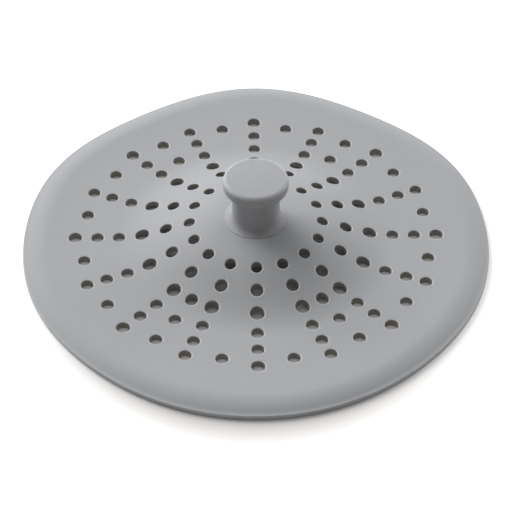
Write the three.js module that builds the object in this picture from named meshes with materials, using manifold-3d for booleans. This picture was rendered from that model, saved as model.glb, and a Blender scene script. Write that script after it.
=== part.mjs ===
// Drain hair catcher: a perforated silicone sheet with a low dome in its middle, a pull knob on the dome,
// and the stud, ballast, washer and screw that weigh the knob down and clamp it to the sheet.
// Millimetres, +Z up. The origin is on the knob's axis, on the surface that the sheet lies on. The front is -Y.
import * as THREE from "three";
import { mergeVertices } from "three/addons/utils/BufferGeometryUtils.js";
import Module from "manifold-3d";

const wasm = await Module();
wasm.setup();

// The sheet: a dome and a brim round it that lies flat on the surface, with a top that climbs to a soft ridge
// and curls down to a thinner rim
const sheetThickness = 2.4;
const domeHeight = 7.7; // the top of the dome above the brim
const domeRadius = 43.5; // where the dome runs out into the brim
const brimWidth = 17.5; // from the outer ring of holes to the mean radius of the lobed outline
const rimWaves = [
  { lobes: 2, reach: 1.14 },
  { lobes: 4, reach: 0.55 },
  { lobes: 6, reach: 0.49 },
];
const riseWidth = 16.2; // the brim's top climbs over this width
const brimRise = 0.5; // this far, to its ridge
const rimCurlWidth = 7;
const rimDrop = 1.35; // and falls this far over the curl
const lipRounding = 0.3;

// The strainer holes: spokes of holes on rings, with single holes between the spokes
const outerRingRadius = 55.7;
const outerRingStagger = 0.3; // every other spoke starts this much further out, the rest this much further in
const holeDiameter = 3.8;
const spokeEndHoleDiameter = 4.15;
const wideRingHoleDiameter = 4.3;
const innerRingHoleDiameter = 3.45;

// The knob: a head on a stem that flares out to a foot on top of the dome
const knobHeight = 16;
const headRadius = 10;
const headThickness = 3.8;
const headTopRounding = 1.4;
const headUnderRounding = 0.8;
const stemRadius = 7.35;
const stemTopFillet = 0.5;
const footRadius = 9.9;
const footLip = 0.15; // the upright edge of the foot
const footFlareHeight = 2.4;
const footSeatMargin = 0.55; // the dome's flat top reaches this far past the foot

// The stud inside the knob, the ballast ring on it, and the washer and screw under the sheet
const studRadius = 3;
const studFlangeRadius = 6.4;
const studFlangeThickness = 1.6;
const studBoreDepth = 10;
const ballastWall = 2;
const ballastHeight = 10.6;
const washerRadius = 8.8;
const washerThickness = 0.8;
const screwRadius = 1.5;
const screwLength = 9.5; // from under the head to the tip
const screwHeadRadius = 2.9;
const screwHeadHeight = 1.5;
const screwHeadRounding = 0.5;
const driveSlotWidth = 0.8;
const driveSlotLength = 3.4;
const driveSlotDepth = 0.9;

const fitGap = 0.3; // clearance between pieces that fit in one another
const overrun = 1; // how far a cutter runs past what it cuts

// Shares of the outer ring's radius at which each ring of holes lies, from the outside in
const ringShares = [1, 0.882, 0.762, 0.632, 0.499, 0.368];
const betweenShare = 0.964;
const frontFillShares = [0.787, 0.63];
const backFillShares = [0.792];

// Counts and facets
const spokeCount = 16;
const wideRing = 3;
const sheetFacets = 64;
const domeFacets = 7;
const brimFacets = 3;
const holeFacets = 10;
const turnedFacets = 40;
const smallFacets = 24;
const filletFacets = 4;

// Places that follow from the driving dimensions
const rimRadius = outerRingRadius + brimWidth;
const ridgeRadius = rimRadius - rimCurlWidth;
const landRadius = rimRadius - lipRounding;
const seatZ = sheetThickness + domeHeight; // the top of the dome, where the knob's foot sits
const domeUnderZ = seatZ - sheetThickness;
const domeFlatRadius = footRadius + footSeatMargin;

// Angles are measured from the front, turning towards +X
const angleOf = (turns) => turns * 2 * Math.PI;
const reachAt = (angle) =>
  rimWaves.reduce((sum, wave) => sum + wave.reach * Math.cos(wave.lobes * angle), 0);

// How far a radius lies on the way from one radius to another
function shareOf(radius, from, to) {
  return THREE.MathUtils.clamp((radius - from) / (to - from), 0, 1);
}

// How high the dome stands over the brim at a radius: a half wave from its flat top to its run-out
function domeAt(radius) {
  return (domeHeight * (1 + Math.cos(Math.PI * shareOf(radius, domeFlatRadius, domeRadius)))) / 2;
}

// How deep the sheet's wall is at a radius, straight down: the climb and the fall both start level
function wallAt(radius) {
  const climb = shareOf(radius, ridgeRadius - riseWidth, ridgeRadius) ** 2;
  const fall = shareOf(radius, ridgeRadius, landRadius) ** 2;
  return sheetThickness + brimRise * climb - rimDrop * fall;
}

// Turns a closed or axis-to-axis outline of [radius, height] points about Z
function turned(outline, facets) {
  const points = outline.map(([radius, height]) => new THREE.Vector2(radius, height));
  return new THREE.LatheGeometry(points, facets).rotateX(Math.PI / 2);
}

// A closed geometry as a solid that can be joined and cut
function solidOf(geometry) {
  const bare = geometry.clone();
  bare.deleteAttribute("normal");
  bare.deleteAttribute("uv");
  const merged = mergeVertices(bare);
  const made = new wasm.Manifold(
    new wasm.Mesh({
      numProp: 3,
      vertProperties: merged.attributes.position.array,
      triVerts: new Uint32Array(merged.index.array),
    }),
  );
  return made;
}

// A solid back as a geometry with its own normals
function geometryOf(solid) {
  const mesh = solid.getMesh();
  const geometry = new THREE.BufferGeometry();
  geometry.setAttribute("position", new THREE.BufferAttribute(mesh.vertProperties, mesh.numProp));
  geometry.setIndex(new THREE.BufferAttribute(mesh.triVerts, 1));
  geometry.computeVertexNormals();
  return geometry;
}

// Points of a quarter arc about a centre, from one angle to another, both in degrees
function arc(centreRadius, centreHeight, radius, height, from, to) {
  return Array.from({ length: filletFacets + 1 }, (_, step) => {
    const angle = THREE.MathUtils.degToRad(from + ((to - from) * step) / filletFacets);
    return [centreRadius + radius * Math.cos(angle), centreHeight + height * Math.sin(angle)];
  });
}

// Evenly spaced values from a start to an end, both included
function spread(from, to, steps) {
  return Array.from({ length: steps + 1 }, (_, step) => from + ((to - from) * step) / steps);
}

// Where each hole of the strainer stands: its angle, radius and diameter
function holePlaces() {
  const places = [];
  for (let spoke = 0; spoke < spokeCount; spoke++) {
    const angle = angleOf(spoke / spokeCount);
    const longSpoke = spoke % 2 === 0;
    ringShares.forEach((share, ring) => {
      const stagger = ring > 0 ? 0 : longSpoke ? outerRingStagger : -outerRingStagger;
      let diameter = holeDiameter;
      if (ring === 0 && longSpoke) diameter = spokeEndHoleDiameter;
      if (ring === wideRing) diameter = wideRingHoleDiameter;
      if (ring === ringShares.length - 1) diameter = innerRingHoleDiameter;
      places.push({ angle, radius: share * outerRingRadius + stagger, diameter });
    });
    const between = angleOf((spoke + 0.5) / spokeCount);
    const shares = [betweenShare, ...fillSharesAfter(spoke)];
    shares.forEach((share) =>
      places.push({ angle: between, radius: share * outerRingRadius, diameter: holeDiameter }),
    );
  }
  return places;
}

// The spaces after the second spokes from the front and before those from the back hold more holes
function fillSharesAfter(spoke) {
  const fromFront = Math.min(spoke, spokeCount - 1 - spoke);
  const fromBack = spokeCount / 2 - 1 - fromFront;
  if (fromFront === 1) return frontFillShares;
  return fromBack === 1 ? backFillShares : [];
}

// The outline of the sheet's section at the rim's mean radius, out along the underside and back along the top
function sheetOutline() {
  const domeRadii = [studRadius + fitGap, ...spread(domeFlatRadius, domeRadius, domeFacets)];
  const brimRadii = [
    ...spread(ridgeRadius - riseWidth, ridgeRadius, brimFacets),
    ...spread(ridgeRadius, landRadius, brimFacets).slice(1),
  ];
  const under = domeRadii.map((radius) => [radius, domeAt(radius)]);
  const top = [...domeRadii, ...brimRadii].map((radius) => [radius, domeAt(radius) + wallAt(radius)]);
  const side = [
    [landRadius, 0],
    [rimRadius, lipRounding],
    [rimRadius, wallAt(landRadius) - lipRounding],
  ];
  return [...under, ...side, ...top.reverse(), under[0]];
}

// Draws the outline out and in along the rim's lobes, more and more from the holes to the curl
function lobe(geometry) {
  const place = geometry.attributes.position;
  const from = outerRingRadius + outerRingStagger + spokeEndHoleDiameter;
  for (let i = 0; i < place.count; i++) {
    const x = place.getX(i);
    const y = place.getY(i);
    const radius = Math.hypot(x, y);
    const moved = radius + shareOf(radius, from, ridgeRadius) * reachAt(Math.atan2(x, -y));
    place.setXY(i, (x * moved) / radius, (y * moved) / radius);
  }
  return geometry;
}

function strainerSheet() {
  const sheet = solidOf(lobe(turned(sheetOutline(), sheetFacets)));
  const height = seatZ + 2 * overrun;
  return holePlaces().reduce((left, { angle, radius, diameter }) => {
    const cutter = new THREE.CylinderGeometry(diameter / 2, diameter / 2, height, holeFacets)
      .rotateX(Math.PI / 2)
      .rotateZ(angle)
      .translate(radius * Math.sin(angle), -radius * Math.cos(angle), height / 2 - overrun);
    return left.subtract(solidOf(cutter));
  }, sheet);
}

// The knob's section from the axis of its cavity outwards, with heights above the dome's top
function gripKnob() {
  const cavityRadius = studRadius + fitGap + ballastWall + fitGap;
  const cavityTop = studFlangeThickness + ballastHeight + 2 * fitGap;
  const flangeCavityRadius = studFlangeRadius + fitGap;
  const flangeCavityTop = studFlangeThickness + fitGap;
  const headBottom = knobHeight - headThickness;
  const flareReach = footRadius - stemRadius;
  const upperFillet = stemRadius + stemTopFillet;
  return turned(
    [
      [0, cavityTop],
      [cavityRadius, cavityTop],
      [cavityRadius, flangeCavityTop],
      [flangeCavityRadius, flangeCavityTop],
      [flangeCavityRadius, 0],
      [footRadius, 0],
      ...arc(footRadius, footFlareHeight + footLip, flareReach, footFlareHeight, 270, 180),
      ...arc(upperFillet, headBottom - stemTopFillet, stemTopFillet, stemTopFillet, 180, 90),
      ...arc(headRadius - headUnderRounding, headBottom + headUnderRounding,
        headUnderRounding, headUnderRounding, 270, 360),
      ...arc(headRadius - headTopRounding, knobHeight - headTopRounding,
        headTopRounding, headTopRounding, 0, 90),
      [0, knobHeight],
    ],
    turnedFacets,
  );
}

function knobStud() {
  const boreRadius = screwRadius + fitGap;
  return turned(
    [
      [0, studBoreDepth - sheetThickness],
      [boreRadius, studBoreDepth - sheetThickness],
      [boreRadius, -sheetThickness],
      [studRadius, -sheetThickness],
      [studRadius, 0],
      [studFlangeRadius, 0],
      [studFlangeRadius, studFlangeThickness],
      [studRadius, studFlangeThickness],
      [studRadius, studFlangeThickness + ballastHeight + fitGap],
      [0, studFlangeThickness + ballastHeight + fitGap],
    ],
    smallFacets,
  );
}

function ballastRing() {
  const inner = studRadius + fitGap;
  const outer = inner + ballastWall;
  return turned(
    [
      [inner, 0],
      [outer, 0],
      [outer, ballastHeight],
      [inner, ballastHeight],
      [inner, 0],
    ],
    smallFacets,
  );
}

function clampWasher() {
  const inner = screwRadius + fitGap;
  return turned(
    [
      [inner, 0],
      [washerRadius, 0],
      [washerRadius, washerThickness],
      [inner, washerThickness],
      [inner, 0],
    ],
    turnedFacets,
  );
}

// The screw stands head down, with heights above the underside of its head
function clampScrew() {
  const body = solidOf(
    turned(
      [
        [0, 0],
        [screwHeadRadius - screwHeadRounding, 0],
        [screwHeadRadius, screwHeadRounding],
        [screwHeadRadius, screwHeadHeight],
        [screwRadius, screwHeadHeight],
        [screwRadius, screwHeadHeight + screwLength - screwRadius],
        [0, screwHeadHeight + screwLength],
      ],
      smallFacets,
    ),
  );
  return [0, Math.PI / 2].reduce((left, turn) => {
    const slot = new THREE.BoxGeometry(driveSlotLength, driveSlotWidth, driveSlotDepth + overrun)
      .rotateZ(turn)
      .translate(0, 0, (driveSlotDepth - overrun) / 2);
    return left.subtract(solidOf(slot));
  }, body);
}

// Finishes
const silicone = new THREE.MeshStandardMaterial({ color: 0xabadb0, roughness: 0.62, metalness: 0 });
const knobSilicone = new THREE.MeshStandardMaterial({ color: 0xa8aaad, roughness: 0.68, metalness: 0 });
const nylon = new THREE.MeshStandardMaterial({ color: 0xe4e2da, roughness: 0.5, metalness: 0 });
const steel = new THREE.MeshStandardMaterial({ color: 0xc4c6c8, roughness: 0.32, metalness: 1 });

function piece(name, geometry, material, height) {
  const mesh = new THREE.Mesh(geometry, material);
  mesh.name = name;
  mesh.position.z = height;
  return mesh;
}

const washerZ = domeUnderZ - washerThickness;
const screwZ = washerZ - screwHeadHeight;

// The hub is everything that rises and sinks with the knob
const hub = new THREE.Group();
hub.add(
  piece("grip_knob", gripKnob(), knobSilicone, seatZ),
  piece("knob_stud", knobStud(), nylon, seatZ),
  piece("ballast_ring", ballastRing(), steel, seatZ + studFlangeThickness),
  piece("clamp_washer", clampWasher(), steel, washerZ),
  piece("clamp_screw", geometryOf(clampScrew()), steel, screwZ),
);

const catcher = new THREE.Group();
catcher.add(piece("strainer_sheet", geometryOf(strainerSheet()), silicone, 0), hub);

export default catcher;
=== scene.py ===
# Drain hair catcher: how each piece looks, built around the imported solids. Metres, +Z up, the front is -Y.
import math
import bmesh
import bpy
from mathutils import Matrix, Vector
from mathutils.geometry import delaunay_2d_cdt
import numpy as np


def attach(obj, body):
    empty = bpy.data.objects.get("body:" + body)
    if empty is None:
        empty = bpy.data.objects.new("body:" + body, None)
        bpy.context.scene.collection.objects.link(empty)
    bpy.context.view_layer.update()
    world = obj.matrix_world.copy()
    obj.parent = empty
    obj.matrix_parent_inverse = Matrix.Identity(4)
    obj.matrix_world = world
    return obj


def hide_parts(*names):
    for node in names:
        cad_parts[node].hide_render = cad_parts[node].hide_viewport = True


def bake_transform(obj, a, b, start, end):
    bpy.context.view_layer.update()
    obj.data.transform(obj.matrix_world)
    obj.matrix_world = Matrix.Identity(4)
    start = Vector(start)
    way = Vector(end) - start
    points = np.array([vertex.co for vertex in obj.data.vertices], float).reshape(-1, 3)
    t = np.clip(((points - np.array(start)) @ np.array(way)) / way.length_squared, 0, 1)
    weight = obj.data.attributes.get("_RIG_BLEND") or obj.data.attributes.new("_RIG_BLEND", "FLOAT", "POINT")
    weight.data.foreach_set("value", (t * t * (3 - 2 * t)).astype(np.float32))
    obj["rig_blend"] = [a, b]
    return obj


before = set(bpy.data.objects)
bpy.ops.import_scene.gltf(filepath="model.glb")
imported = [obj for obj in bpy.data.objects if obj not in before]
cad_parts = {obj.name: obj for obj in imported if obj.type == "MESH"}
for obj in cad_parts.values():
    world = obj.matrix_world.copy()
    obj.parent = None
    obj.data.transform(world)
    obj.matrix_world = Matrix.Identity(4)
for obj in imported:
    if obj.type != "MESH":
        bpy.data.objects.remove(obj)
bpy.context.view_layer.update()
print("frame loaded:", ", ".join(sorted(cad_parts)))

mm = 0.001
fullTurn = 2 * math.pi
samePlace = 0.001 * mm  # points closer than this are one
sharpAngle = math.radians(50)


# Camera, fitted to the photograph's hole pattern and rim
photoView = {
    "azimuth": -0.6,  # degrees, 0 looks along +Y
    "elevation": 42.2,
    "roll": 0.13,
    "distance": 587 * mm,  # from the point it looks at
    "height": 2.4 * mm,  # that point is on the axis, at the brim's top
    "lens": 133.0,
    "shift": (0.0002, -0.0391),
}


def makeCamera(view):
    turn = math.radians(view["azimuth"])
    rise = math.radians(view["elevation"])
    back = Vector((math.sin(turn) * math.cos(rise), -math.cos(turn) * math.cos(rise), math.sin(rise)))
    right = Vector((math.cos(turn), math.sin(turn), 0))
    facing = Matrix((right, back.cross(right), back)).transposed().to_4x4()
    roll = Matrix.Rotation(math.radians(-view["roll"]), 4, "Z")
    lens = bpy.data.cameras.new("camera")
    lens.lens = view["lens"]
    lens.shift_x, lens.shift_y = view["shift"]
    lens.clip_start = 0.01
    camera = bpy.data.objects.new("camera", lens)
    aim = Vector((0, 0, view["height"]))
    camera.matrix_world = Matrix.Translation(aim + back * view["distance"]) @ facing @ roll
    bpy.context.scene.collection.objects.link(camera)
    bpy.context.scene.camera = camera


makeCamera(photoView)
print("camera placed")


# Node helpers
def addNode(tree, kind, **settings):
    node = tree.nodes.new(kind)
    for name, value in settings.items():
        setattr(node, name, value)
    return node


def newMaterial(name):
    material = bpy.data.materials.new(name)
    material.use_nodes = True
    material.node_tree.nodes.clear()
    shader = addNode(material.node_tree, "ShaderNodeBsdfPrincipled")
    output = addNode(material.node_tree, "ShaderNodeOutputMaterial")
    material.node_tree.links.new(shader.outputs["BSDF"], output.inputs["Surface"])
    return material, shader


# Moulded skin: a faint blotchy tone, a fine grain, a painted highlight on the lips of the holes, rim and
# knob head, and painted shade on the holes' walls
def mouldedSkin():
    group = bpy.data.node_groups.new("moulded skin", "ShaderNodeTree")
    face = group.interface
    for name in ("Tone", "Bore Shade Tone"):
        face.new_socket(name, in_out="INPUT", socket_type="NodeSocketColor")
    for name in ("Blotch Scale", "Blotch Depth", "Grain Scale", "Grain Depth", "Roughness", "Lip Highlight Lift"):
        face.new_socket(name, in_out="INPUT", socket_type="NodeSocketFloat")
    face.new_socket("Color", in_out="OUTPUT", socket_type="NodeSocketColor")
    face.new_socket("Roughness", in_out="OUTPUT", socket_type="NodeSocketFloat")
    face.new_socket("Height", in_out="OUTPUT", socket_type="NodeSocketFloat")
    given = addNode(group, "NodeGroupInput")
    result = addNode(group, "NodeGroupOutput")
    link = group.links.new
    place = addNode(group, "ShaderNodeTexCoord").outputs["Object"]

    blotch = addNode(group, "ShaderNodeTexNoise")
    blotch.inputs["Detail"].default_value = 3
    link(place, blotch.inputs["Vector"])
    link(given.outputs["Blotch Scale"], blotch.inputs["Scale"])
    grain = addNode(group, "ShaderNodeTexNoise")
    grain.inputs["Detail"].default_value = 4
    grain.inputs["Roughness"].default_value = 0.65
    link(place, grain.inputs["Vector"])
    link(given.outputs["Grain Scale"], grain.inputs["Scale"])

    def swing(noise, depth):  # the noise as a factor about 1
        centred = addNode(group, "ShaderNodeMath", operation="SUBTRACT")
        centred.inputs[1].default_value = 0.5
        link(noise, centred.inputs[0])
        scaled = addNode(group, "ShaderNodeMath", operation="MULTIPLY_ADD")
        scaled.inputs[2].default_value = 1
        link(centred.outputs[0], scaled.inputs[0])
        link(depth, scaled.inputs[1])
        return scaled.outputs[0]

    def times(first, second):
        product = addNode(group, "ShaderNodeMath", operation="MULTIPLY")
        link(first, product.inputs[0])
        link(second, product.inputs[1])
        return product.outputs[0]

    blotchSwing = swing(blotch.outputs["Fac"], given.outputs["Blotch Depth"])
    grainSwing = swing(grain.outputs["Fac"], given.outputs["Grain Depth"])
    # Painted highlight: the lip attribute lifts the tone towards pale at the edges of the holes, the rim and
    # the knob's head
    lipHighlight = addNode(group, "ShaderNodeAttribute", attribute_name="lipHighlight")
    nearLip = addNode(group, "ShaderNodeMath", operation="POWER")
    nearLip.inputs[1].default_value = 1.5  # draws the painted highlight in towards the edge
    link(lipHighlight.outputs["Fac"], nearLip.inputs[0])
    lipHighlightLift = addNode(group, "ShaderNodeMath", operation="MULTIPLY_ADD")
    lipHighlightLift.inputs[2].default_value = 1
    link(nearLip.outputs[0], lipHighlightLift.inputs[0])
    link(given.outputs["Lip Highlight Lift"], lipHighlightLift.inputs[1])
    # Painted shade: the holes' walls are multiplied by the darker, warmer bore shade colour
    bore = addNode(group, "ShaderNodeAttribute", attribute_name="bore")
    inside = addNode(group, "ShaderNodeMapRange", interpolation_type="SMOOTHSTEP")
    inside.inputs["From Min"].default_value = 0.75  # the wall's painted shade starts just inside the rounded edge
    link(bore.outputs["Fac"], inside.inputs["Value"])
    level = times(times(blotchSwing, grainSwing), lipHighlightLift.outputs[0])
    toned = addNode(group, "ShaderNodeVectorMath", operation="SCALE")
    link(given.outputs["Tone"], toned.inputs["Vector"])
    link(level, toned.inputs["Scale"])
    tinted = addNode(group, "ShaderNodeMixRGB", blend_type="MULTIPLY")
    link(inside.outputs["Result"], tinted.inputs["Fac"])
    link(toned.outputs["Vector"], tinted.inputs["Color1"])
    link(given.outputs["Bore Shade Tone"], tinted.inputs["Color2"])
    link(tinted.outputs["Color"], result.inputs["Color"])
    link(times(given.outputs["Roughness"], blotchSwing), result.inputs["Roughness"])
    link(grain.outputs["Fac"], result.inputs["Height"])
    return group


mouldedSkinGroup = mouldedSkin()


def mouldedMaterial(name, look):
    material, shader = newMaterial(name)
    tree = material.node_tree
    skin = addNode(tree, "ShaderNodeGroup", node_tree=mouldedSkinGroup)
    skin.inputs["Tone"].default_value = (*look["tone"], 1)
    skin.inputs["Blotch Scale"].default_value = 1 / look["blotchSize"]
    skin.inputs["Blotch Depth"].default_value = look["blotchDepth"]
    skin.inputs["Grain Scale"].default_value = 1 / look["grainSize"]
    skin.inputs["Grain Depth"].default_value = look["grainTone"]
    skin.inputs["Roughness"].default_value = look["roughness"]
    skin.inputs["Lip Highlight Lift"].default_value = look["lipHighlightLift"]
    skin.inputs["Bore Shade Tone"].default_value = (*look["boreShadeTone"], 1)
    bump = addNode(tree, "ShaderNodeBump")
    bump.inputs["Distance"].default_value = look["grainHeight"]
    bump.inputs["Strength"].default_value = look["grainStrength"]
    tree.links.new(skin.outputs["Color"], shader.inputs["Base Color"])
    tree.links.new(skin.outputs["Roughness"], shader.inputs["Roughness"])
    tree.links.new(skin.outputs["Height"], bump.inputs["Height"])
    tree.links.new(bump.outputs["Normal"], shader.inputs["Normal"])
    shader.inputs["Sheen Weight"].default_value = look["sheen"]
    shader.inputs["Sheen Roughness"].default_value = look["sheenRoughness"]
    shader.inputs["Specular IOR Level"].default_value = look["gloss"]
    return material


sheetSilicone = mouldedMaterial("sheet silicone", {
    "tone": (0.405, 0.415, 0.43),
    "blotchSize": 9 * mm, "blotchDepth": 0.05,
    "grainSize": 0.35 * mm, "grainTone": 0.06, "grainHeight": 0.02 * mm, "grainStrength": 0.5,
    "roughness": 0.6, "gloss": 0.35, "sheen": 0.15, "sheenRoughness": 0.4,
    # painted highlight on the lips, painted shade on the holes' walls
    "lipHighlightLift": 1.0, "boreShadeTone": (0.49, 0.45, 0.405),
})
knobSilicone = mouldedMaterial("knob silicone", {
    "tone": (0.44, 0.446, 0.457),
    "blotchSize": 6 * mm, "blotchDepth": 0.04,
    "grainSize": 0.6 * mm, "grainTone": 0.4, "grainHeight": 0.06 * mm, "grainStrength": 0.7,
    "roughness": 0.68, "gloss": 0.3, "sheen": 0.2, "sheenRoughness": 0.4,
    "lipHighlightLift": 0.35, "boreShadeTone": (1, 1, 1),
})
studNylon = mouldedMaterial("stud nylon", {
    "tone": (0.76, 0.74, 0.68),
    "blotchSize": 5 * mm, "blotchDepth": 0.05,
    "grainSize": 0.3 * mm, "grainTone": 0.04, "grainHeight": 0.01 * mm, "grainStrength": 0.4,
    "roughness": 0.5, "gloss": 0.5, "sheen": 0, "sheenRoughness": 0.3,
    "lipHighlightLift": 0, "boreShadeTone": (1, 1, 1),
})
print("moulded materials made")


# Turned metal: fine rings about the axis, with a faint wander in tone and roughness
def turnedMetal():
    group = bpy.data.node_groups.new("turned metal", "ShaderNodeTree")
    face = group.interface
    face.new_socket("Tone", in_out="INPUT", socket_type="NodeSocketColor")
    for name in ("Ring Scale", "Wander Scale", "Roughness"):
        face.new_socket(name, in_out="INPUT", socket_type="NodeSocketFloat")
    face.new_socket("Color", in_out="OUTPUT", socket_type="NodeSocketColor")
    face.new_socket("Roughness", in_out="OUTPUT", socket_type="NodeSocketFloat")
    face.new_socket("Height", in_out="OUTPUT", socket_type="NodeSocketFloat")
    given = addNode(group, "NodeGroupInput")
    result = addNode(group, "NodeGroupOutput")
    link = group.links.new
    place = addNode(group, "ShaderNodeTexCoord").outputs["Object"]
    parts = addNode(group, "ShaderNodeSeparateXYZ")
    flat = addNode(group, "ShaderNodeVectorMath", operation="MULTIPLY")
    flat.inputs[1].default_value = (1, 1, 0)
    radius = addNode(group, "ShaderNodeVectorMath", operation="LENGTH")
    section = addNode(group, "ShaderNodeCombineXYZ")
    link(place, parts.inputs[0])
    link(place, flat.inputs[0])
    link(flat.outputs[0], radius.inputs[0])
    link(radius.outputs["Value"], section.inputs["X"])
    link(parts.outputs["Z"], section.inputs["Z"])
    rings = addNode(group, "ShaderNodeTexNoise")
    rings.inputs["Detail"].default_value = 2
    link(section.outputs[0], rings.inputs["Vector"])
    link(given.outputs["Ring Scale"], rings.inputs["Scale"])
    wander = addNode(group, "ShaderNodeTexNoise")
    wander.inputs["Detail"].default_value = 3
    link(place, wander.inputs["Vector"])
    link(given.outputs["Wander Scale"], wander.inputs["Scale"])
    level = addNode(group, "ShaderNodeMapRange")
    level.inputs["To Min"].default_value, level.inputs["To Max"].default_value = 0.85, 1.15
    link(wander.outputs["Fac"], level.inputs["Value"])
    tinted = addNode(group, "ShaderNodeVectorMath", operation="SCALE")
    link(given.outputs["Tone"], tinted.inputs["Vector"])
    link(level.outputs[0], tinted.inputs["Scale"])
    rough = addNode(group, "ShaderNodeMath", operation="MULTIPLY")
    link(given.outputs["Roughness"], rough.inputs[0])
    link(level.outputs[0], rough.inputs[1])
    link(tinted.outputs["Vector"], result.inputs["Color"])
    link(rough.outputs[0], result.inputs["Roughness"])
    link(rings.outputs["Fac"], result.inputs["Height"])
    return group


turnedMetalGroup = turnedMetal()


def metalMaterial(name, look):
    material, shader = newMaterial(name)
    tree = material.node_tree
    metal = addNode(tree, "ShaderNodeGroup", node_tree=turnedMetalGroup)
    metal.inputs["Tone"].default_value = (*look["tone"], 1)
    metal.inputs["Ring Scale"].default_value = 1 / look["ringSize"]
    metal.inputs["Wander Scale"].default_value = 1 / look["wanderSize"]
    metal.inputs["Roughness"].default_value = look["roughness"]
    bump = addNode(tree, "ShaderNodeBump")
    bump.inputs["Distance"].default_value = look["ringHeight"]
    bump.inputs["Strength"].default_value = look["ringStrength"]
    tree.links.new(metal.outputs["Color"], shader.inputs["Base Color"])
    tree.links.new(metal.outputs["Roughness"], shader.inputs["Roughness"])
    tree.links.new(metal.outputs["Height"], bump.inputs["Height"])
    tree.links.new(bump.outputs["Normal"], shader.inputs["Normal"])
    shader.inputs["Metallic"].default_value = 1
    return material


ballastSteel = metalMaterial("ballast steel", {
    "tone": (0.55, 0.56, 0.57), "ringSize": 0.15 * mm, "wanderSize": 3 * mm,
    "roughness": 0.34, "ringHeight": 0.01 * mm, "ringStrength": 0.5,
})
clampSteel = metalMaterial("clamp steel", {
    "tone": (0.6, 0.61, 0.62), "ringSize": 0.2 * mm, "wanderSize": 2 * mm,
    "roughness": 0.38, "ringHeight": 0.01 * mm, "ringStrength": 0.25,
})
print("metal materials made")


# Mesh helpers
def makeObject(bm, name, material):
    mesh = bpy.data.meshes.new(name)
    bm.to_mesh(mesh)
    bm.free()
    mesh.shade_smooth()
    mesh.materials.append(material)
    made = bpy.data.objects.new(name, mesh)
    bpy.context.scene.collection.objects.link(made)
    return made


def freshVerts(made):
    return [item for item in made["geom"] if isinstance(item, bmesh.types.BMVert)]


def freshEdges(made):
    return [item for item in made["geom"] if isinstance(item, bmesh.types.BMEdge)]


# Rounds the edges where faces meet at more than the sharp angle
def roundEdges(made, width, segments):
    rounding = made.modifiers.new("rounding", "BEVEL")
    rounding.width = width
    rounding.segments = segments
    rounding.limit_method = "ANGLE"
    rounding.angle_limit = sharpAngle
    rounding.harden_normals = True


# The sheet: hole loops and rim loops in plan, filled between, then raised to the dome and curled at the rim
sheet = {
    "thickness": 2.4 * mm,
    "domeHeight": 7.7 * mm,
    "domeFlatRadius": 10.45 * mm,
    "domeRadius": 43.5 * mm,
    "rimRadius": 73.2 * mm,
    "rimWaves": (  # lobes, reach
        (2, 1.14 * mm),
        (4, 0.55 * mm),
        (5, -0.38 * mm),
        (6, 0.49 * mm),
        (7, -0.23 * mm),
    ),
    "waveStart": 60.15 * mm,
    "riseStart": 50 * mm,
    "brimRise": 0.5 * mm,  # the brim's top climbs this far to a soft ridge
    "rimDrop": 1.35 * mm,  # and falls this far over the curl
    "curlWidth": 7 * mm,
    "rimLand": 0.55 * mm,  # the level edge of the rim
    "curlSteps": 8,
    "rimSteps": 288,
    "neckRadius": 3.3 * mm,  # the hole that the stud's neck goes through
    "holeSteps": 28,
    "guardWidths": (0.55 * mm, 1.0 * mm),  # even bands of faces round each hole
    "edgeRounding": 0.45 * mm,
    "rimHighlight": 0.7,  # painted highlight and painted bounce light on the rim's edge, as a share of a hole lip's painted highlight
    "fillLength": 1.7 * mm,
    "fillClearance": 0.4,  # of that length, between a fill point and a hole's bands
    "fillSweeps": 3,
    "bandShare": 0.99,  # a face whose middle is further out than this share of a hole's bands is kept
}
holes = {
    "spokes": 16,
    "outerRing": 55.7 * mm,
    "stagger": 0.3 * mm,  # even spokes start this much further out, the rest this much further in
    "ringShares": (1, 0.882, 0.762, 0.632, 0.499, 0.368),
    "betweenShare": 0.964,
    "frontFillShares": (0.787, 0.63),
    "backFillShares": (0.792,),
    "diameter": 3.8 * mm,
    "spokeEndDiameter": 4.15 * mm,
    "wideRing": 3,
    "wideDiameter": 4.3 * mm,
    "innerDiameter": 3.45 * mm,
}


def holePlaces():
    count = holes["spokes"]
    last = len(holes["ringShares"]) - 1
    for spoke in range(count):
        angle = fullTurn * spoke / count
        longSpoke = spoke % 2 == 0
        for ring, share in enumerate(holes["ringShares"]):
            radius = share * holes["outerRing"]
            diameter = holes["diameter"]
            if ring == 0:
                radius += holes["stagger"] if longSpoke else -holes["stagger"]
                diameter = holes["spokeEndDiameter"] if longSpoke else diameter
            elif ring == holes["wideRing"]:
                diameter = holes["wideDiameter"]
            elif ring == last:
                diameter = holes["innerDiameter"]
            yield angle, radius, diameter
        fromFront = min(spoke, count - 1 - spoke)
        fromBack = count // 2 - 1 - fromFront
        fills = holes["frontFillShares"] if fromFront == 1 else ()
        fills = holes["backFillShares"] if fromBack == 1 else fills
        for share in (holes["betweenShare"], *fills):
            yield fullTurn * (spoke + 0.5) / count, share * holes["outerRing"], holes["diameter"]


def shareBetween(value, start, end):
    return min(max((value - start) / (end - start), 0), 1)


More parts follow.
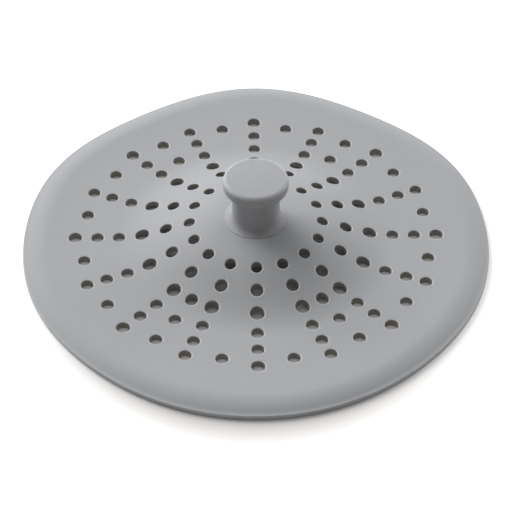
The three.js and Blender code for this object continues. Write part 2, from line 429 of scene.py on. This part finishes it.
# A loop of edges round a centre, with bands of faces outside it. Gives the outermost loop's edges.
def guardedHole(bm, centre, radius, steps):
    lipHighlight, bore = bm.verts.layers.float["lipHighlight"], bm.verts.layers.float["bore"]
    place = Matrix.Translation(centre)
    made = bmesh.ops.create_circle(bm, cap_ends=False, radius=radius, segments=steps, matrix=place)
    edges = list({edge for vert in made["verts"] for edge in vert.link_edges})
    # The hole's loop carries its lip's painted highlight and marks where the wall's painted shade begins
    for vert in made["verts"]:
        vert[lipHighlight] = vert[bore] = 1
    reach = radius
    for width in sheet["guardWidths"]:
        made = bmesh.ops.extrude_edge_only(bm, edges=edges)
        verts = freshVerts(made)
        for vert in verts:
            vert[lipHighlight] = vert[bore] = 0
        edges = [edge for edge in freshEdges(made) if all(vert in verts for vert in edge.verts)]
        grow = (radius + width) / reach
        reach = radius + width
        bmesh.ops.scale(bm, vec=(grow, grow, 1), space=place.inverted(), verts=verts)
    return edges


# The rim's loop, with the bands of its curl inside it. Gives the innermost loop's edges.
def guardedRim(bm):
    lipHighlight = bm.verts.layers.float["lipHighlight"]
    reach = sheet["rimRadius"]
    made = bmesh.ops.create_circle(bm, cap_ends=False, radius=reach, segments=sheet["rimSteps"])
    edges = list({edge for vert in made["verts"] for edge in vert.link_edges})
    # The rim's loop takes a painted highlight, which also lightens the rim's side face
    for vert in made["verts"]:
        vert[lipHighlight] = sheet["rimHighlight"]
    curl = sheet["curlWidth"] - sheet["rimLand"]
    for step in range(sheet["curlSteps"]):
        made = bmesh.ops.extrude_edge_only(bm, edges=edges)
        verts = freshVerts(made)
        for vert in verts:
            vert[lipHighlight] = 0
        edges = [edge for edge in freshEdges(made) if all(vert in verts for vert in edge.verts)]
        inner = sheet["rimRadius"] - sheet["rimLand"] - curl * step / (sheet["curlSteps"] - 1)
        bmesh.ops.scale(bm, vec=(inner / reach, inner / reach, 1), verts=verts)
        reach = inner
    return edges


# Evenly spread points between the holes and the rim, each ring turned half a step from the last
def fillPoints(circles):
    inner = sheet["neckRadius"]
    outer = sheet["rimRadius"] - sheet["curlWidth"]
    step = sheet["fillLength"]
    clearance = sheet["fillClearance"] * step
    rings = round((outer - inner) / step)
    for ring in range(1, rings):
        radius = inner + (outer - inner) * ring / rings
        count = round(fullTurn * radius / step)
        for turn in range(count):
            angle = fullTurn * (turn + 0.5 * (ring % 2)) / count
            point = Vector((radius * math.sin(angle), -radius * math.cos(angle)))
            if all((point - centre).length > reach + clearance for centre, reach in circles):
                yield point


# Fills the flat space between the boundary loops with even triangles
def fillBetween(bm, boundary, circles):
    rims = sorted({vert for edge in boundary for vert in edge.verts}, key=lambda vert: vert.index)
    order = {vert: place for place, vert in enumerate(rims)}
    points = [vert.co.xy for vert in rims] + list(fillPoints(circles))
    fixed = [(order[edge.verts[0]], order[edge.verts[1]]) for edge in boundary]
    places, _, faces, sources, _, _ = delaunay_2d_cdt(points, fixed, [], 1, samePlace)
    verts = [rims[source[0]] if source and source[0] < len(rims) else bm.verts.new((*place, 0))
             for place, source in zip(places, sources)]
    for face in faces:
        middle = sum((places[corner] for corner in face), Vector((0, 0))) / len(face)
        if all((middle - centre).length > sheet["bandShare"] * reach for centre, reach in circles):
            bm.faces.new([verts[corner] for corner in face])
    rimVerts = set(rims)
    free = [vert for vert in verts if vert not in rimVerts]
    for sweep in range(sheet["fillSweeps"]):
        bmesh.ops.smooth_vert(bm, verts=free, factor=0.5, use_axis_x=True, use_axis_y=True)


def domeAt(radius):
    share = shareBetween(radius, sheet["domeFlatRadius"], sheet["domeRadius"])
    return sheet["domeHeight"] * (1 + math.cos(math.pi * share)) / 2


def brimAt(radius):  # the brim's climb to its ridge and its fall over the curl, before the lobes move it
    ridge = sheet["rimRadius"] - sheet["curlWidth"]
    climb = shareBetween(radius, sheet["riseStart"], ridge)
    fall = shareBetween(radius, ridge, sheet["rimRadius"] - sheet["rimLand"])
    return sheet["brimRise"] * climb ** 2 - sheet["rimDrop"] * fall ** 2


def raiseSheet(bm):
    wall = bm.verts.layers.deform.verify()
    waveEnd = sheet["rimRadius"] - sheet["curlWidth"]
    for vert in bm.verts:
        radius = vert.co.xy.length
        angle = math.atan2(vert.co.x, -vert.co.y)
        reach = sum(wave * math.cos(lobes * angle) for lobes, wave in sheet["rimWaves"])
        vert.co.xy *= 1 + reach * shareBetween(radius, sheet["waveStart"], waveEnd) / radius
        depth = sheet["thickness"] + brimAt(radius)
        vert.co.z = depth + domeAt(radius)
        vert[wall][0] = depth / (sheet["thickness"] + sheet["brimRise"])


def makeSheet():
    bm = bmesh.new()
    for name in ("lipHighlight", "bore"):
        bm.verts.layers.float.new(name)
    boundary = guardedRim(bm)
    circles = []
    for angle, radius, diameter in [(0, 0, 2 * sheet["neckRadius"]), *holePlaces()]:
        centre = Vector((radius * math.sin(angle), -radius * math.cos(angle), 0))
        boundary += guardedHole(bm, centre, diameter / 2, sheet["holeSteps"])
        circles.append((centre.xy, diameter / 2 + sheet["guardWidths"][-1]))
    bm.verts.index_update()
    fillBetween(bm, boundary, circles)
    print("sheet filled:", len(bm.faces), "faces")
    raiseSheet(bm)
    bmesh.ops.recalc_face_normals(bm, faces=bm.faces[:])
    if sum(face.normal.z for face in bm.faces) < 0:
        bmesh.ops.reverse_faces(bm, faces=bm.faces[:])
    made = makeObject(bm, "strainer_sheet_skin", sheetSilicone)

    # The underside is the top moved straight down by the wall's depth, so the holes' walls stand upright
    made.vertex_groups.new(name="wallShare")
    made.vertex_groups.new(name="underside")
    wall = made.modifiers.new("wall", "SOLIDIFY")
    wall.thickness = samePlace  # next to nothing, as the depth modifier moves the underside
    wall.offset = -1
    wall.shell_vertex_group = "underside"
    share = made.modifiers.new("share", "VERTEX_WEIGHT_MIX")
    share.vertex_group_a = "underside"
    share.vertex_group_b = "wallShare"
    share.mix_set = "A"
    share.mix_mode = "MUL"
    depth = made.modifiers.new("depth", "DISPLACE")
    depth.direction = "Z"
    depth.mid_level = 0
    depth.strength = -(sheet["thickness"] + sheet["brimRise"])
    depth.vertex_group = "underside"
    roundEdges(made, sheet["edgeRounding"], 3)
    return made


sheetSkin = makeSheet()
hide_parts("strainer_sheet")
seatZ = sheet["thickness"] + sheet["domeHeight"]
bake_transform(sheetSkin, "sheet", "hub", start=(0, 0, sheet["thickness"]), end=(0, 0, seatZ))
print("sheet made:", len(sheetSkin.data.vertices), "points")


# The knob
knob = {
    "height": 16.0 * mm,
    "headRadius": 10.0 * mm,
    "headThickness": 3.8 * mm,
    "headTopRounding": 1.4 * mm,
    "headUnderRounding": 0.8 * mm,
    "stemRadius": 7.35 * mm,
    "stemTopFillet": 0.5 * mm,
    "footRadius": 9.9 * mm,
    "footLip": 0.04 * mm,
    "footFlareHeight": 2.4 * mm,
    "lipHighlightSteepness": 2,  # the head's edge takes its full painted highlight at half its rounding
    "arcSteps": 8,
    "turnSteps": 128,
}


# Points of an arc about a centre, between two angles in degrees, with its own reach along each axis
def arc(centre, reach, start, end, steps):
    for step in range(steps + 1):
        angle = math.radians(start + (end - start) * step / steps)
        yield centre[0] + reach[0] * math.cos(angle), centre[1] + reach[1] * math.sin(angle)


# Turns an outline of (radius, height) points about the axis at a height
def turned(outline, steps, height):
    bm = bmesh.new()
    verts = [bm.verts.new((radius, 0, height + rise)) for radius, rise in outline]
    edges = [bm.edges.new(pair) for pair in zip(verts, verts[1:])]
    bmesh.ops.spin(bm, geom=verts + edges, axis=(0, 0, 1), angle=fullTurn, steps=steps, use_merge=True)
    bmesh.ops.remove_doubles(bm, verts=bm.verts[:], dist=samePlace)
    bmesh.ops.recalc_face_normals(bm, faces=bm.faces[:])
    return bm


def makeKnob():
    top = knob["height"]
    headBottom = top - knob["headThickness"]
    topRound = knob["headTopRounding"]
    underRound = knob["headUnderRounding"]
    underEdge = (knob["headRadius"] - underRound, headBottom + underRound)
    fillet = knob["stemTopFillet"]
    flareReach = knob["footRadius"] - knob["stemRadius"]
    flareTop = knob["footFlareHeight"] + knob["footLip"]
    steps = knob["arcSteps"]
    outline = [
        (0, 0),
        (knob["footRadius"], 0),
        *arc((knob["footRadius"], flareTop), (flareReach, knob["footFlareHeight"]), 270, 180, steps),
        *arc((knob["stemRadius"] + fillet, headBottom - fillet), (fillet, fillet), 180, 90, steps),
        *arc(underEdge, (underRound, underRound), 270, 360, steps),
        *arc((knob["headRadius"] - topRound, top - topRound), (topRound, topRound), 0, 90, steps),
        (0, top),
    ]
    bm = turned(outline, knob["turnSteps"], seatZ)
    # Painted highlight on the head's top rounding
    lipHighlight = bm.verts.layers.float.new("lipHighlight")
    for vert in bm.verts:
        past = (vert.co.xy.length - knob["headRadius"] + topRound) / topRound
        above = (vert.co.z - seatZ - top + topRound) / topRound
        vert[lipHighlight] = max(0, min(1, knob["lipHighlightSteepness"] * min(past, above)))
    return makeObject(bm, "grip_knob_skin", knobSilicone)


knobSkin = makeKnob()
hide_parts("grip_knob")
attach(knobSkin, "hub")
print("knob made")


# A ring of rectangular section
def ringOutline(inner, outer, height):
    return [(inner, 0), (outer, 0), (outer, height), (inner, height), (inner, 0)]


# The stud inside the knob
stud = {
    "radius": 3 * mm,
    "flangeRadius": 6.4 * mm,
    "flangeThickness": 1.6 * mm,
    "boreRadius": 1.8 * mm,
    "boreTop": 7.6 * mm,  # above the dome's top
    "height": 12.5 * mm,
    "edgeRounding": 0.2 * mm,
    "turnSteps": 64,
}


def makeStud():
    neck = -sheet["thickness"]
    bm = turned([
        (0, stud["boreTop"]),
        (stud["boreRadius"], stud["boreTop"]),
        (stud["boreRadius"], neck),
        (stud["radius"], neck),
        (stud["radius"], 0),
        (stud["flangeRadius"], 0),
        (stud["flangeRadius"], stud["flangeThickness"]),
        (stud["radius"], stud["flangeThickness"]),
        (stud["radius"], stud["height"]),
        (0, stud["height"]),
    ], stud["turnSteps"], seatZ)
    return makeObject(bm, "knob_stud_skin", studNylon)


studSkin = makeStud()
roundEdges(studSkin, stud["edgeRounding"], 2)
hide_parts("knob_stud")
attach(studSkin, "hub")
print("stud made")


# The ballast ring on the stud
ballast = {
    "inner": 3.3 * mm,
    "outer": 5.3 * mm,
    "height": 10.6 * mm,
    "edgeRounding": 0.25 * mm,
    "turnSteps": 64,
}
ballastOutline = ringOutline(ballast["inner"], ballast["outer"], ballast["height"])
ballastMesh = turned(ballastOutline, ballast["turnSteps"], seatZ + stud["flangeThickness"])
ballastSkin = makeObject(ballastMesh, "ballast_ring_skin", ballastSteel)
roundEdges(ballastSkin, ballast["edgeRounding"], 2)
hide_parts("ballast_ring")
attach(ballastSkin, "hub")
print("ballast made")


# The washer under the sheet
washer = {
    "inner": 1.8 * mm,
    "outer": 8.8 * mm,
    "thickness": 0.8 * mm,
    "edgeRounding": 0.15 * mm,
    "turnSteps": 96,
}
washerZ = seatZ - sheet["thickness"] - washer["thickness"]
washerOutline = ringOutline(washer["inner"], washer["outer"], washer["thickness"])
washerMesh = turned(washerOutline, washer["turnSteps"], washerZ)
washerSkin = makeObject(washerMesh, "clamp_washer_skin", clampSteel)
roundEdges(washerSkin, washer["edgeRounding"], 2)
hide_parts("clamp_washer")
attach(washerSkin, "hub")
print("washer made")


# The screw stands head down, with a cross recess in its head
screw = {
    "shankRadius": 1.5 * mm,
    "length": 9.5 * mm,  # from under the head to the tip
    "headRadius": 2.9 * mm,
    "headHeight": 1.5 * mm,
    "headRounding": 0.5 * mm,
    "slotWidth": 0.8 * mm,
    "slotLength": 3.4 * mm,
    "slotDepth": 0.9 * mm,
    "edgeRounding": 0.08 * mm,
    "arcSteps": 6,
    "turnSteps": 64,
}


def crossCorners(length, width):
    for quarter in range(4):
        turn = Matrix.Rotation(fullTurn * quarter / 4, 2)
        for corner in ((length, -width), (length, width), (width, width)):
            yield turn @ (Vector(corner) / 2)


# Closes the head's end face round the cross, which is sunk into the head
def sinkCross(bm, rim, height):
    rim.sort(key=lambda vert: math.atan2(vert.co.y, vert.co.x))
    corners = list(crossCorners(screw["slotLength"], screw["slotWidth"]))
    points = [vert.co.xy for vert in rim] + corners
    fixed = []
    for start, end in ((0, len(rim)), (len(rim), len(points))):
        fixed += [(place, place + 1 if place + 1 < end else start) for place in range(start, end)]
    places, _, faces, _, _, _ = delaunay_2d_cdt(points, fixed, [], 1, samePlace)
    verts = rim + [bm.verts.new((*corner, height)) for corner in corners]
    long, wide = screw["slotLength"] / 2, screw["slotWidth"] / 2
    for face in faces:
        middle = sum((places[corner] for corner in face), Vector((0, 0))) / len(face)
        across, along = sorted((abs(middle.x), abs(middle.y)))
        if across > wide or along > long:
            bm.faces.new([verts[corner] for corner in face])
    cross = verts[len(rim):]
    edges = [bm.edges.get(pair) for pair in zip(cross, cross[1:] + cross[:1])]
    made = bmesh.ops.extrude_edge_only(bm, edges=edges)
    sunk = freshVerts(made)
    bmesh.ops.translate(bm, vec=(0, 0, screw["slotDepth"]), verts=sunk)
    bottom = [edge for edge in freshEdges(made) if all(vert in sunk for vert in edge.verts)]
    bmesh.ops.edgeloop_fill(bm, edges=bottom)


def makeScrew():
    rounding = screw["headRounding"]
    edge = screw["headRadius"] - rounding
    end = screw["headHeight"] + screw["length"]
    base = washerZ - screw["headHeight"]
    bm = turned([
        *arc((edge, rounding), (rounding, rounding), 270, 360, screw["arcSteps"]),
        (screw["headRadius"], screw["headHeight"]),
        (screw["shankRadius"], screw["headHeight"]),
        (screw["shankRadius"], end - screw["shankRadius"]),
        (0, end),
    ], screw["turnSteps"], base)
    bm.verts.ensure_lookup_table()
    sinkCross(bm, [vert for vert in bm.verts if vert.co.z < base + samePlace], base)
    bmesh.ops.recalc_face_normals(bm, faces=bm.faces[:])
    return makeObject(bm, "clamp_screw_skin", clampSteel)


screwSkin = makeScrew()
roundEdges(screwSkin, screw["edgeRounding"], 2)
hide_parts("clamp_screw")
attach(screwSkin, "hub")
print("screw made")


# Floor, lamps and world
studio = {
    "floorSize": 4.0,
    "floorDrop": 0.02 * mm,  # so that floor and brim never share a plane
    "floorTone": (0.86, 0.85, 0.835),
    "shadeTone": (0.57, 0.555, 0.535),  # of the floor under and close in front of the sheet
    "floorGlow": 0.4,  # what the camera sees on top of the light on the floor
    "glowReach": (70 * mm, 82 * mm),  # the glow comes in between these distances from its centre
    "glowCentre": 5 * mm,  # in front of the axis, so that a shadow stays along the front
    "glowSquash": 1.15,  # and the sides are clear of it
    "shadeGlow": (0.36, 0.19),  # of open floor seen through the holes, and in the sheet's shadow
    "shadeReach": (66 * mm, 70 * mm),
    "shadeDepth": 30 * mm,  # how far off the floor's own shade is gathered
    "ambient": 0.022,
    "lampDistance": 4.0,
    "lamps": {  # degrees round from the front towards -X, degrees up, width, power
        "key": (139.0, 36.0, 3.4, 166.0),
        "backRight": (230.0, 23.0, 2.6, 59.0),
        "frontHigh": (0.0, 68.0, 2.0, 12.0),
        "backHigh": (180.0, 68.0, 2.4, 20.0),
    },
}


def makeFloor():
    bm = bmesh.new()
    bmesh.ops.create_grid(bm, x_segments=8, y_segments=8, size=studio["floorSize"] / 2)
    material = bpy.data.materials.new("floor")
    material.use_nodes = True
    tree = material.node_tree
    tree.nodes.clear()
    diffuse = addNode(tree, "ShaderNodeBsdfDiffuse")
    tone = addNode(tree, "ShaderNodeMixRGB")
    tone.inputs["Color1"].default_value = (*studio["shadeTone"], 1)
    tone.inputs["Color2"].default_value = (*studio["floorTone"], 1)
    glow = addNode(tree, "ShaderNodeEmission")
    path = addNode(tree, "ShaderNodeLightPath")
    place = addNode(tree, "ShaderNodeTexCoord")
    shifted = addNode(tree, "ShaderNodeVectorMath", operation="MULTIPLY_ADD")
    shifted.inputs[1].default_value = (studio["glowSquash"], 1, 0)
    shifted.inputs[2].default_value = (0, studio["glowCentre"], 0)
    reach = addNode(tree, "ShaderNodeVectorMath", operation="LENGTH")
    outside = addNode(tree, "ShaderNodeMapRange", interpolation_type="SMOOTHSTEP")
    outside.inputs["From Min"].default_value, outside.inputs["From Max"].default_value = studio["glowReach"]
    strength = addNode(tree, "ShaderNodeMapRange")
    shade = addNode(tree, "ShaderNodeMapRange", interpolation_type="SMOOTHSTEP")
    shade.inputs["From Min"].default_value, shade.inputs["From Max"].default_value = studio["shadeReach"]
    shade.inputs["To Min"].default_value, shade.inputs["To Max"].default_value = studio["shadeGlow"]
    openness = addNode(tree, "ShaderNodeAmbientOcclusion", samples=8)
    openness.inputs["Distance"].default_value = studio["shadeDepth"]
    shaded = addNode(tree, "ShaderNodeMath", operation="MULTIPLY")
    strength.inputs["To Max"].default_value = studio["floorGlow"]
    scaled = addNode(tree, "ShaderNodeMath", operation="MULTIPLY")
    both = addNode(tree, "ShaderNodeAddShader")
    output = addNode(tree, "ShaderNodeOutputMaterial")
    tree.links.new(place.outputs["Object"], shifted.inputs[0])
    tree.links.new(shifted.outputs[0], reach.inputs[0])
    tree.links.new(reach.outputs["Value"], outside.inputs["Value"])
    tree.links.new(outside.outputs["Result"], tone.inputs["Fac"])
    tree.links.new(tone.outputs["Color"], diffuse.inputs["Color"])
    tree.links.new(reach.outputs["Value"], shade.inputs["Value"])
    tree.links.new(shade.outputs["Result"], shaded.inputs[0])
    tree.links.new(openness.outputs["AO"], shaded.inputs[1])
    tree.links.new(shaded.outputs[0], strength.inputs["To Min"])
    tree.links.new(outside.outputs["Result"], strength.inputs["Value"])
    tree.links.new(strength.outputs["Result"], scaled.inputs[1])
    tree.links.new(path.outputs["Is Camera Ray"], scaled.inputs[0])
    tree.links.new(scaled.outputs[0], glow.inputs["Strength"])
    tree.links.new(diffuse.outputs[0], both.inputs[0])
    tree.links.new(glow.outputs[0], both.inputs[1])
    tree.links.new(both.outputs[0], output.inputs["Surface"])
    floor = makeObject(bm, "floor", material)
    floor.location.z = -studio["floorDrop"]


def makeLamps():
    for name, (azimuth, elevation, width, power) in studio["lamps"].items():
        turn = math.radians(azimuth)
        rise = math.radians(elevation)
        level = math.cos(rise)
        toward = Vector((-math.sin(turn) * level, -math.cos(turn) * level, math.sin(rise)))
        light = bpy.data.lights.new(name, "AREA")
        light.shape = "DISK"
        light.size = width
        light.energy = power
        lamp = bpy.data.objects.new(name, light)
        lamp.location = toward * studio["lampDistance"]
        lamp.rotation_euler = toward.to_track_quat("Z", "Y").to_euler()
        bpy.context.scene.collection.objects.link(lamp)


def makeWorld():
    world = bpy.data.worlds.new("world")
    bpy.context.scene.world = world
    world.use_nodes = True
    tree = world.node_tree
    tree.nodes.clear()
    path = addNode(tree, "ShaderNodeLightPath")
    seen = addNode(tree, "ShaderNodeMath", operation="MAXIMUM")
    either = addNode(tree, "ShaderNodeMath", operation="MAXIMUM")
    strength = addNode(tree, "ShaderNodeMapRange")
    strength.inputs["To Min"].default_value = studio["ambient"]
    background = addNode(tree, "ShaderNodeBackground")
    background.inputs["Color"].default_value = (1, 1, 1, 1)
    output = addNode(tree, "ShaderNodeOutputWorld")
    tree.links.new(path.outputs["Is Camera Ray"], seen.inputs[0])
    tree.links.new(path.outputs["Is Glossy Ray"], seen.inputs[1])
    tree.links.new(seen.outputs[0], either.inputs[0])
    tree.links.new(path.outputs["Is Transmission Ray"], either.inputs[1])
    tree.links.new(either.outputs[0], strength.inputs["Value"])
    tree.links.new(strength.outputs["Result"], background.inputs["Strength"])
    tree.links.new(background.outputs[0], output.inputs["Surface"])


makeFloor()
makeLamps()
makeWorld()
bpy.context.scene.view_settings.view_transform = "Standard"
print("studio lit")
